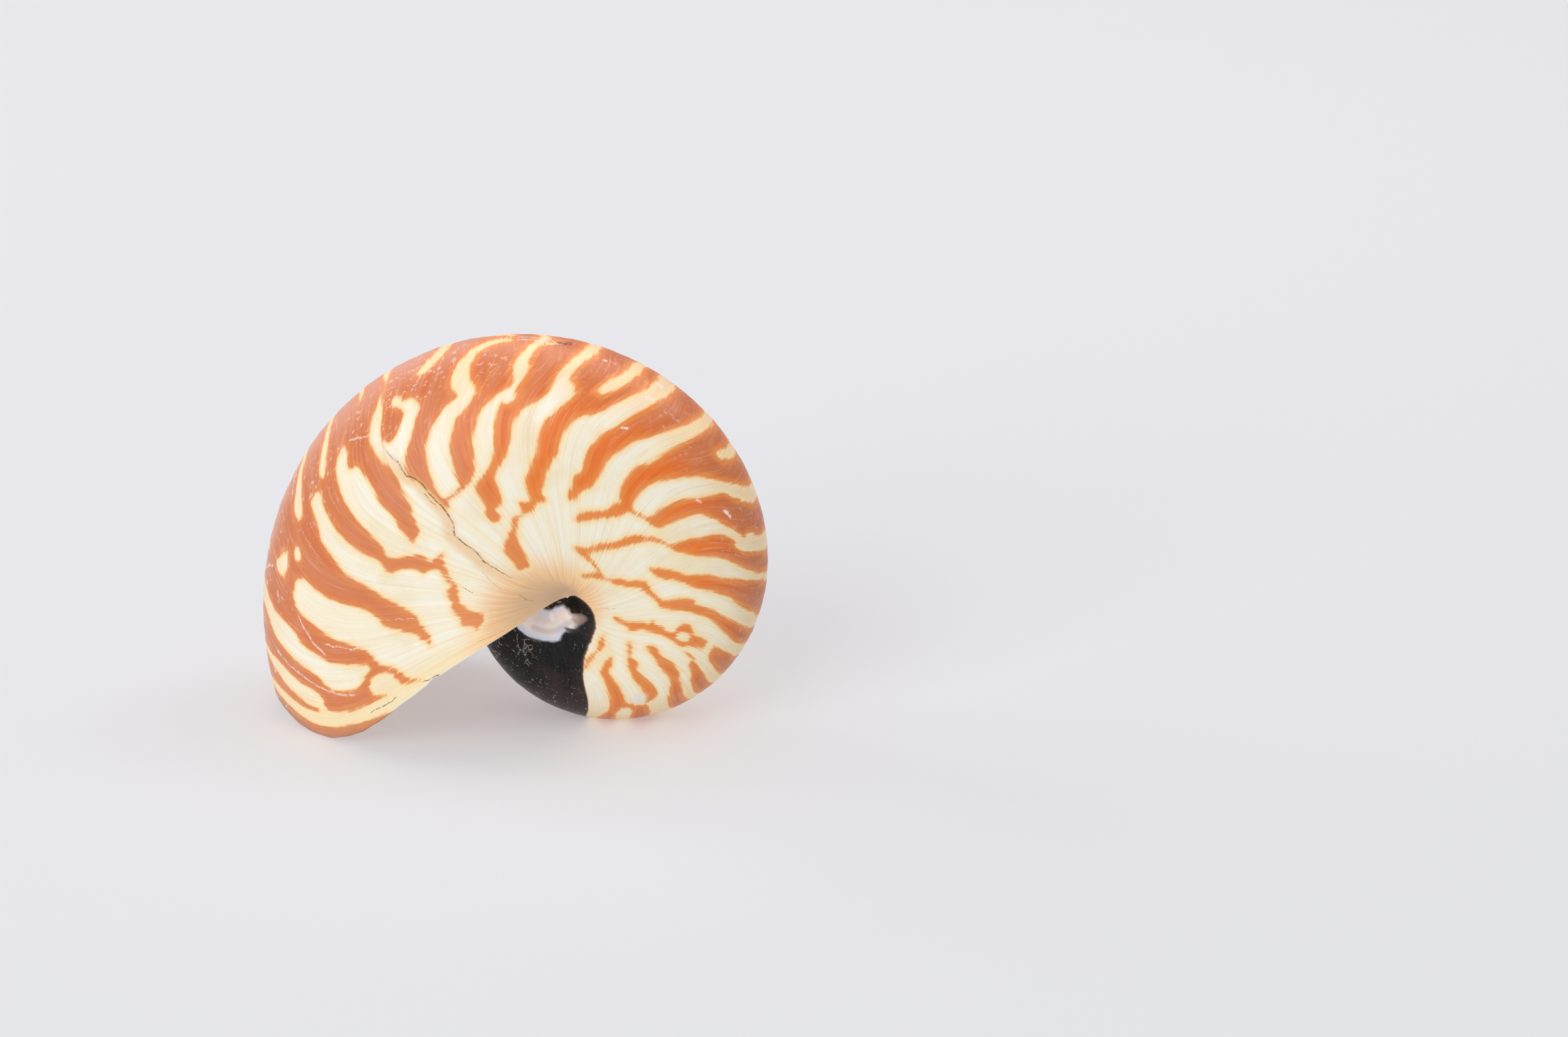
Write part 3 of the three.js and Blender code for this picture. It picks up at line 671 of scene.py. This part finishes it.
def linear(code):
    """A six-digit sRGB colour as the linear colour that shaders take."""
    parts = [int(code[i : i + 2], 16) / 255 for i in (1, 3, 5)]
    return [c / 12.92 if c <= 0.04045 else ((c + 0.055) / 1.055) ** 2.4 for c in parts] + [1]


def add(kind, settings, *given):
    """A node of the shell's material, as its output. What is given goes to its inputs in order."""
    node = nodes.new("ShaderNode" + kind)
    for name, setting in settings.items():
        setattr(node, name, setting)
    for socket, content in zip([each for each in node.inputs if each.enabled], given):
        if isinstance(content, bpy.types.NodeSocket):
            links.new(content, socket)
        else:
            socket.default_value = content
    return next(each for each in node.outputs if each.enabled)


# Aragonite, a hard white mineral in a porcelain-like layer, cream with rust stripes, cleaned and
# polished by hand: it gives a satin gloss, with fine growth lines and rubbed spots in it.
aragonite = bpy.data.materials.new("polished_aragonite")
aragonite.use_nodes = True
nodes = aragonite.node_tree.nodes
links = aragonite.node_tree.links
shader = nodes["Principled BSDF"]

RAMP = {"interpolation_type": "SMOOTHSTEP"}
BLEND = {"data_type": "RGBA"}
PLUS = {"operation": "ADD"}
LESS = {"operation": "SUBTRACT"}
TIMES = {"operation": "MULTIPLY"}
PLUS_SHARE = {"operation": "MULTIPLY_ADD"}
DOT = {"operation": "DOT_PRODUCT"}
SIZE = {"operation": "ABSOLUTE"}

read = {}
for name in marks:
    read[name] = add("Attribute", {"attribute_name": name}).node.outputs["Fac"]
chart_place = add("Attribute", {"attribute_name": "chart"}).node.outputs["Vector"]
metres = add("TexCoord", {}).node.outputs["Object"]
high_up = read["height"]

# Noise, by the size of its grains. On the chart it is sized by what a degree and a hundredth
# measure on the flank, in millimetres, and towards the navel it is finer, as growth lines are.
DEGREE = 1.2
HUNDREDTH = 0.84


def drawn_out(across, along):
    """The chart's scale for noise of this size across the growth lines and along them, in mm."""
    return (DEGREE / across, HUNDREDTH / along, 1)


fine_lines = add("VectorMath", TIMES, chart_place, drawn_out(0.6, 24))
fine_lines = add("TexNoise", {}, fine_lines, 1, 4, 0.6)
growth_lines = add("VectorMath", TIMES, chart_place, drawn_out(1.5, 42))
growth_lines = add("TexNoise", {}, growth_lines, 1, 4, 0.6)
growth_bands = add("VectorMath", TIMES, chart_place, drawn_out(7.5, 56))
growth_bands = add("TexNoise", {}, growth_bands, 1, 3)
navel_lines = add("VectorMath", TIMES, chart_place, drawn_out(4, 70))
navel_lines = add("TexNoise", {}, navel_lines, 1, 5, 0.7)
blotches = add("TexNoise", {}, metres, 1 / (15.4 * MM), 4, 0.55)
spots = add("TexNoise", {}, metres, 1 / (4.55 * MM), 3, 0.6)
specks = add("TexNoise", {}, metres, 1 / (2.5 * MM), 3, 0.55)
dust = add("TexNoise", {}, metres, 1 / (0.77 * MM), 3, 0.6)

# Cream ground, warmer by the lip, and darker and warmer by the keel: partly the shell's own tone, partly
# painted shade that holds back the overhead lamp's light
pale_bands = add("MapRange", RAMP, growth_bands, 0.38, 0.62)
cream = add("Mix", BLEND, pale_bands, linear("#f9f5e0"), linear("#faf0d2"))
cream = add("Mix", BLEND, add("MapRange", RAMP, blotches, 0.5, 0.7, 0, 0.7), cream, linear("#f3e3bb"))
# Partly painted shade: the cream darkens and warms towards the keel
cream = add("Mix", BLEND, add("MapRange", RAMP, high_up, 0.3, 0.08, 0, 0.8), cream, linear("#f5d8a6"))
cream = add("Mix", BLEND, add("MapRange", RAMP, read["growth"], -14, -1, 0, 0.6), cream, linear("#fbdf9f"))
cream = add("Mix", BLEND, add("MapRange", RAMP, growth_lines, 0.5, 0.72, 0, 0.3), cream, linear("#e6c391"))
cream = add("Mix", BLEND, add("MapRange", RAMP, fine_lines, 0.56, 0.7, 0, 0.15), cream, linear("#d9b384"))

# Peach navel, with fine lines that run in to the axis, and a paler peach deep in its funnel that is
# painted light against the funnel's shade
ray = add("Math", PLUS_SHARE, add("Math", PLUS, navel_lines, growth_lines), 0.06, -0.06)
navel_edge = add("Math", PLUS, high_up, ray)
peach_lines = add("MapRange", RAMP, navel_lines, 0.38, 0.6)
peach = add("Mix", BLEND, peach_lines, linear("#ffdba8"), linear("#fbc286"))
# Painted light: the peach turns paler deep in the navel's funnel, where its shade falls
peach = add("Mix", BLEND, add("MapRange", RAMP, high_up, 0.86, 0.97), peach, linear("#ffdcb4"))
peach = add("Mix", BLEND, add("MapRange", RAMP, navel_lines, 0.6, 0.7, 0, 0.22), peach, linear("#b98358"))
cream = add("Mix", BLEND, add("MapRange", RAMP, navel_edge, 0.75, 0.87, 0, 0.95), cream, peach)

# Rust stripes, with a yellow halo, an orange rim and edges that are frayed along the growth lines
frayed = add("Math", PLUS_SHARE, fine_lines, 1.1, -0.55)
frayed = add("Math", PLUS_SHARE, add("Math", PLUS_SHARE, growth_lines, 1.9, -0.95), 1, frayed)
frayed = add("Math", PLUS, frayed, add("Math", PLUS_SHARE, specks, 1.0, -0.5))
stripe_edge = add("Math", PLUS, read["stripe"], frayed)
halo = add("MapRange", RAMP, stripe_edge, -1.7, -0.3, 0, 0.8)
ground = add("Mix", BLEND, halo, cream, linear("#ffe2a8"))
young = add("MapRange", RAMP, read["growth"], -115, -75)
old = add("MapRange", RAMP, read["growth"], -215, -250, 0, 0.5)
rust = add("Mix", BLEND, young, linear("#f0781a"), linear("#d9804e"))
rust = add("Mix", BLEND, old, rust, linear("#d9874f"))
rust = add("Mix", BLEND, add("MapRange", RAMP, high_up, 0.36, 0.1), rust, linear("#cc7846"))
rust = add("Mix", BLEND, add("MapRange", RAMP, growth_lines, 0.42, 0.66, 0, 0.4), rust, linear("#d2602a"))
rust = add("Mix", BLEND, add("MapRange", RAMP, growth_bands, 0.5, 0.72, 0, 0.4), rust, linear("#d8916c"))
rust = add("Mix", BLEND, add("MapRange", RAMP, read["growth"], -4, -2.5, 0, 0.7), rust, linear("#c08a68"))
rust = add("Mix", BLEND, add("MapRange", RAMP, high_up, 0.5, 0.75, 0, 0.5), rust, linear("#f09a58"))
# Painted sheen: a pale pink along the keel of the younger shell
painted_keel_sheen = add("Math", TIMES, add("MapRange", RAMP, high_up, 0.18, 0.03, 0, 0.4), young)
rust = add("Mix", BLEND, painted_keel_sheen, rust, linear("#edc9b9"))
rim = add("MapRange", RAMP, stripe_edge, 2.2, 0.3)
rim = add("Math", TIMES, rim, add("MapRange", RAMP, young, 0, 1, 0.8, 0.45))
rust = add("Mix", BLEND, rim, rust, linear("#ee9443"))
striped = add("Mix", BLEND, add("MapRange", RAMP, stripe_edge, -0.5, 0.4), ground, rust)

# Rubbed places: pale spots along the keel. And a painted pinkish sheen, drawn out along the growth lines
spread = add("VectorMath", TIMES, chart_place, drawn_out(2, 1.68))
worn = add("MapRange", RAMP, add("TexNoise", {}, spread, 1, 6, 0.7), 0.55, 0.63, 0, 0.75)
worn = add("Math", TIMES, worn, add("MapRange", RAMP, young, 0, 1, 0.35, 1))
worn = add("Math", TIMES, worn, add("MapRange", RAMP, high_up, 0.42, 0.16))
worn = add("Math", TIMES, worn, add("MapRange", RAMP, blotches, 0.4, 0.6, 0.15, 1))
striped = add("Mix", BLEND, worn, striped, linear("#f6dfd0"))
# Painted sheen, stronger towards the keel: pinkish streaks along the growth lines
spread = add("VectorMath", TIMES, chart_place, drawn_out(0.75, 10.5))
painted_sheen = add("MapRange", RAMP, add("TexNoise", {}, spread, 1, 4, 0.6), 0.52, 0.7, 0, 0.35)
painted_sheen = add("Math", TIMES, painted_sheen, add("MapRange", RAMP, high_up, 0.62, 0.25))
striped = add("Mix", BLEND, painted_sheen, striped, linear("#ecbfa4"))

# The healed break: a thin brown line on a tan stain
scar_bend = add("Math", PLUS, read["scar"], add("Math", PLUS_SHARE, specks, 1.0, -0.5))
scar_bend = add("Math", SIZE, scar_bend)
scar_line = add("Math", TIMES, add("MapRange", RAMP, scar_bend, 0.3, 0.08), read["scar_strength"])
scar_line = add("Math", TIMES, scar_line, add("MapRange", RAMP, dust, 0.4, 0.56, 0.25, 0.9))
stain = add("MapRange", RAMP, add("Math", SIZE, add("Math", PLUS, read["scar"], -0.9)), 2.6, 0.3, 0, 0.6)
stain = add("Math", TIMES, stain, read["scar_strength"])
striped = add("Mix", BLEND, stain, striped, linear("#edc083"))
striped = add("Mix", BLEND, scar_line, striped, linear("#7a4518"))

# A painted highlight along the lip's edge: a thin white line on the half of the lip that is nearer the
# navel
painted_lip_highlight = add("MapRange", RAMP, read["edge"], 0.8, 0.3, 0, 0.85)
painted_lip_highlight = add("Math", TIMES, painted_lip_highlight, add("MapRange", RAMP, high_up, 0.52, 0.62))
striped = add("Mix", BLEND, painted_lip_highlight, striped, linear("#fffaf0"))

# Black film with brown blotches, pale dust and a brown fringe
film_edge = add("Math", PLUS_SHARE, frayed, 0.35, read["film"])
black = add("Mix", BLEND, add("MapRange", RAMP, blotches, 0.42, 0.6), linear("#060708"), linear("#30231f"))
black = add("Mix", BLEND, add("MapRange", RAMP, growth_lines, 0.5, 0.72, 0, 0.4), black, linear("#343434"))
dusty = add("MapRange", RAMP, high_up, 0.62, 0.2, 0.25, 1)
dusty = add("Math", TIMES, dusty, add("MapRange", RAMP, dust, 0.63, 0.7, 0, 0.8))
black = add("Mix", BLEND, dusty, black, linear("#c3c3b8"))
swirl = add("TexNoise", {}, metres, 1 / (7.7 * MM), 2, 0.5)
swirl = add("MapRange", RAMP, add("Math", SIZE, add("Math", LESS, swirl, 0.5)), 0.014, 0.0, 0, 0.6)
swirl = add("Math", TIMES, swirl, add("MapRange", RAMP, read["growth"], -325, -338))
swirl = add("Math", TIMES, swirl, add("MapRange", RAMP, dust, 0.42, 0.56))
black = add("Mix", BLEND, swirl, black, linear("#b9b5ae"))
filmed = add("Mix", BLEND, add("MapRange", RAMP, film_edge, -0.6, -0.1), striped, linear("#5a3016"))
filmed = add("Mix", BLEND, add("MapRange", RAMP, film_edge, -0.15, 0.3), filmed, black)

# Pearly pad: warm white, with a painted bluish sheen at its lower edge and painted shade along its fold,
# uneven at its older end
pad_end = add("MapRange", RAMP, read["growth"], -310, -255)
pad_wear = add("Math", TIMES, add("Math", PLUS_SHARE, spots, 2, -1.4), pad_end)
pad_edge = add("Math", PLUS, read["pad"], pad_wear)
pad_edge = add("Math", PLUS, pad_edge, add("Math", PLUS_SHARE, specks, 1.0, -0.5))
pad = add("Mix", BLEND, add("MapRange", RAMP, blotches, 0.42, 0.62), linear("#f6ece6"), linear("#e9dbd0"))
# Painted sheen: bluish near the pad's edges, but not at its older end
painted_pad_sheen = add("Math", TIMES, add("MapRange", RAMP, read["pad"], 2.6, 0.8), add("Math", LESS, 1, pad_end))
pad = add("Mix", BLEND, painted_pad_sheen, pad, linear("#dce3ee"))
# Painted shade: the pad darkens along its fold
pad = add("Mix", BLEND, add("MapRange", RAMP, read["fold"], 1.1, 0.1, 0, 0.35), pad, linear("#ab958b"))
pad_fade = add("MapRange", RAMP, pad_edge, -0.2, add("MapRange", RAMP, pad_end, 0, 1, 0.7, 2.2))
surface = add("Mix", BLEND, pad_fade, filmed, pad)

# Smudges of the near side, and one painted highlight on the pad, each with its place on the chart, its
# reach there, strength and colour
SMUDGES_AND_HIGHLIGHT = (
    ((243, 92.6), (15, 1.7), 0.95, "#1c1716"),
    ((273, 82.6), (22, 2.0), 0.9, "#2b2320"),
    ((243, 87.8), (24, 3.4), 0.75, "#a08a7e"),
    # Painted highlight: the white patch on the pad's bulge
    ((322, 84), (14, 2.6), 0.5, "#ffffff"),
    ((267.5, 31), (5, 5), 0.5, "#e6eaea"),
)
uneven = add("Math", PLUS_SHARE, spots, 1.0, -0.5)
for (turn, share), (turn_reach, share_reach), strength, code in SMUDGES_AND_HIGHLIGHT:
    offset = add("VectorMath", {"operation": "SUBTRACT"}, chart_place, (-turn, share, 0))
    offset = add("VectorMath", TIMES, offset, (1 / turn_reach, 1 / share_reach, 0))
    away = add("Math", PLUS, add("VectorMath", {"operation": "LENGTH"}, offset), uneven)
    smudge_and_highlight = add("MapRange", RAMP, away, 1.1, 0.5, 0, strength)
    surface = add("Mix", BLEND, smudge_and_highlight, surface, linear(code))

# Scratches and hair cracks of the near side, with painted highlights among the pale ones, each from one
# place of the chart to another, with its half width on the chart, strength and colour
PALE = "#fdeee2"
DARK = "#6b5035"
ORANGE = "#f0a060"
LINES = (
    ((25.5, 30), (19.5, 39.4), 0.4, 0.7, PALE),
    ((22.5, 38.9), (20.2, 56), 0.3, 0.6, PALE),
    ((20.2, 56), (18, 66.3), 0.25, 0.45, PALE),
    ((29.2, 55), (28, 65.2), 0.25, 0.5, PALE),
    ((12.8, 20), (12.8, 29.5), 0.35, 0.6, PALE),
    ((12.8, 29.5), (8.8, 46.8), 0.35, 0.6, PALE),
    ((98.5, 27), (98, 16), 0.35, 0.6, ORANGE),
    ((67.5, 23), (61.5, 20), 0.35, 0.5, PALE),
    ((176.5, 18.5), (174, 20.5), 1.1, 0.9, PALE),
    ((139.6, 26.8), (138, 27.8), 0.7, 0.9, PALE),
    ((122, 5), (121.2, 6), 0.6, 0.8, PALE),
    ((108.5, 2.2), (101, 2.6), 0.7, 0.75, PALE),
    ((136.8, 3), (135.2, 4.5), 1.3, 0.8, PALE),
    ((136.5, 11.5), (134.5, 13.5), 1.2, 0.7, PALE),
    ((171, 27.2), (169.4, 28.4), 0.9, 0.8, PALE),
    ((21, 4), (27, 16), 0.35, 0.6, PALE),
    ((44, 3), (40, 14), 0.35, 0.5, PALE),
    ((112, 1.2), (106.5, 5), 1.2, 0.9, "#fbe0a8"),
    ((110.5, -0.2), (101, 0.6), 0.6, 0.85, PALE),
    ((113.4, -0.8), (110, -0.2), 1.4, 1.0, "#4c3423"),
    ((3.0, 49), (2.5, 58), 0.25, 0.7, DARK),
    ((1.6, 66), (-1.0, 71), 0.35, 0.9, DARK),
    ((4.2, 82), (1.5, 91), 0.3, 0.6, DARK),
    ((9.0, 84), (8.2, 93), 0.3, 0.4, DARK),
    ((44.5, 74.5), (41.5, 78), 0.3, 0.75, DARK),
    ((58.2, 76.3), (50, 84), 0.3, 0.4, DARK),
    ((48.8, 88.8), (30, 93), 0.35, 0.35, DARK),
    ((75.9, 53), (76.2, 48), 0.25, 0.75, DARK),
    ((198.2, 84.3), (202.8, 74.5), 0.4, 0.55, DARK),
)
waver = add("Math", PLUS_SHARE, specks, 1.6, -0.8)
broken = add("MapRange", RAMP, dust, 0.4, 0.52, 0.2, 1)
for start, end, half_width, strength, code in LINES:
    first, last = Vector((-start[0], start[1], 0)), Vector((-end[0], end[1], 0))
    along = (last - first) / (last - first).length_squared
    across = Vector((-along.y, along.x, 0)).normalized()
    run = add("Math", LESS, add("VectorMath", DOT, chart_place, along), first.dot(along))
    off = add("Math", LESS, add("VectorMath", DOT, chart_place, across), first.dot(across))
    off = add("Math", SIZE, add("Math", PLUS, off, waver))
    line = add("MapRange", RAMP, off, half_width, half_width * 0.3, 0, strength)
    line = add("Math", TIMES, line, add("MapRange", RAMP, run, -0.04, 0.08))
    line = add("Math", TIMES, line, add("MapRange", RAMP, run, 1.04, 0.92))
    surface = add("Mix", BLEND, add("Math", TIMES, line, broken), surface, linear(code))

# Pearl inside the mouth, and painted shade for the siphon's hole
pearl_bands = add("MapRange", RAMP, growth_bands, 0.4, 0.6)
pearl = add("Mix", BLEND, pearl_bands, linear("#f4ebe3"), linear("#e9e4e6"))
# Painted shade: a dark spot where the siphon's hole goes into the shell
pearl = add("Mix", BLEND, add("MapRange", RAMP, read["siphon"], 0.3, 0.9), pearl, linear("#2a211c"))
colour = add("Mix", BLEND, add("MapRange", RAMP, read["pearl"], 0.4, 0.6), surface, pearl)
links.new(colour, shader.inputs["Base Color"])

roughness = add("MapRange", RAMP, film_edge, -0.2, 0.5, 0.38, 0.3)
roughness = add("Math", PLUS, roughness, add("Math", PLUS_SHARE, specks, 0.2, -0.1))
links.new(roughness, shader.inputs["Roughness"])
shader.inputs["IOR"].default_value = 1.53
specular = add("MapRange", RAMP, film_edge, -0.2, 0.5, 0.4, 0.22)
links.new(specular, shader.inputs["Specular IOR Level"])
shader.inputs["Subsurface Weight"].default_value = 0.1
shader.inputs["Subsurface Radius"].default_value = (1.0, 0.55, 0.3)
shader.inputs["Subsurface Scale"].default_value = 1.2 * MM

lines = add("Math", PLUS_SHARE, fine_lines, 0.5, growth_lines)
lines = add("Math", PLUS_SHARE, specks, 0.15, lines)
lines = add("Math", PLUS_SHARE, scar_line, -0.3, lines)
bump = add("Bump", {})
bump.node.inputs["Distance"].default_value = 0.15 * MM
bump.node.inputs["Strength"].default_value = 0.7
links.new(lines, bump.node.inputs["Height"])
links.new(bump, shader.inputs["Normal"])
shell_mesh.materials.append(aragonite)

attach(shell, "root")
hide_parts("shell")

# The floor and the light
# Plain seamless studio paper, under an even, faintly blue sky and soft boxes: a large one in front,
# one at each side and one overhead. Part of the front one, and the overhead one, cast no shadow,
# so that the shell's own shadow stays pale.
PAPER_SIZE = 40
paper_form = bmesh.new()
bmesh.ops.create_grid(paper_form, x_segments=1, y_segments=1, size=PAPER_SIZE)
paper_mesh = bpy.data.meshes.new("paper")
paper_form.to_mesh(paper_mesh)
paper_form.free()
paper = bpy.data.objects.new("studio_paper", paper_mesh)
bpy.context.scene.collection.objects.link(paper)
paper_white = bpy.data.materials.new("matt_paper")
paper_white.use_nodes = True
paper_shader = paper_white.node_tree.nodes["Principled BSDF"]
paper_shader.inputs["Base Color"].default_value = linear("#d2dbdf")
paper_shader.inputs["Roughness"].default_value = 0.95
paper_shader.inputs["Specular IOR Level"].default_value = 0.1
paper_mesh.materials.append(paper_white)

world = bpy.data.worlds.new("studio")
world.use_nodes = True
sky = world.node_tree.nodes["Background"]
sky.inputs["Color"].default_value = linear("#eef1fb")
sky.inputs["Strength"].default_value = 0.5
bpy.context.scene.world = world

# Each box has its place and width in metres, its watts, its colour, and whether it casts a shadow
WHITE = "#ffffff"
WARM = "#ffe2d8"
FAINT_WARM = "#fff1ea"
SOFT_BOXES = (
    ((-1.5, -3.4, 2.3), 3.0, 61, WHITE, True),
    ((-1.5, -3.4, 2.3), 3.0, 40, FAINT_WARM, False),
    ((1.9, 0.9, 2.6), 1.6, 11, WHITE, True),
    ((-2.0, 0.6, 1.0), 1.2, 7, WHITE, True),
    ((0.0, 1.2, 3.0), 2.4, 60, WARM, False),
)
for spot, width, watts, code, casts_shadow in SOFT_BOXES:
    lamp_data = bpy.data.lights.new("soft_box", "AREA")
    lamp_data.size = width
    lamp_data.energy = watts
    lamp_data.color = linear(code)[:3]
    lamp_data.use_shadow = casts_shadow
    lamp = bpy.data.objects.new("soft_box", lamp_data)
    lamp.location = spot
    aim = Vector((0, 0, 0.05)) - lamp.location
    lamp.rotation_euler = aim.to_track_quat("-Z", "Y").to_euler()
    bpy.context.scene.collection.objects.link(lamp)
bpy.context.scene.view_settings.view_transform = "Standard"
